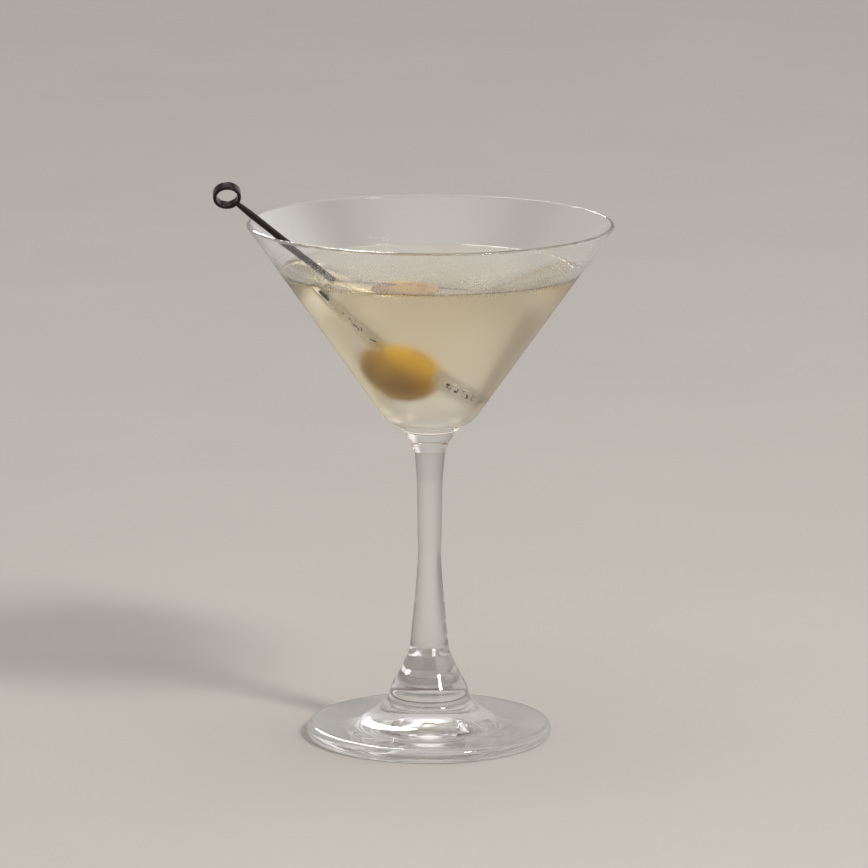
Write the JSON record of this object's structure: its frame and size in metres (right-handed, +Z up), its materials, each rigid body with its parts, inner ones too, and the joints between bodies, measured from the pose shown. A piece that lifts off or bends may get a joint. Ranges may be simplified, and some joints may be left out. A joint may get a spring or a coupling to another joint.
{
  "type": "dirty martini",
  "caption": "Dirty martini: cloudy pale drink in a stemmed conical cocktail glass, with a green olive on a black ring-topped pick leaning on the rim.",
  "frame": {"origin": "middle of the whole piece's bounding box, on the surface that the foot stands on; the glass's own axis is vertical and stands 4.5 mm towards +X, because the pick's ring reaches past the rim on the -X side", "axes": "+Z up along the stem, +X to the right and +Y away as the drink is seen from the front; the pick leans on the front left of the rim, at -X -Y, and runs down towards the back right"},
  "size_m": [0.1248, 0.1156, 0.1843],
  "materials": {
    "clear_glass": "clear, polished, lightly frosted by condensation on the bowl",
    "cloudy_drink": "pale yellow-green liquid, slightly cloudy",
    "olive_flesh": "smooth wet skin, golden green",
    "black_pick": "glossy, very dark brown black"
  },
  "bodies": {
    "root": {"glass": "clear_glass", "drink": "cloudy_drink", "olive": "olive_flesh", "cocktail_pick": "black_pick"}
  },
  "joints": []
}
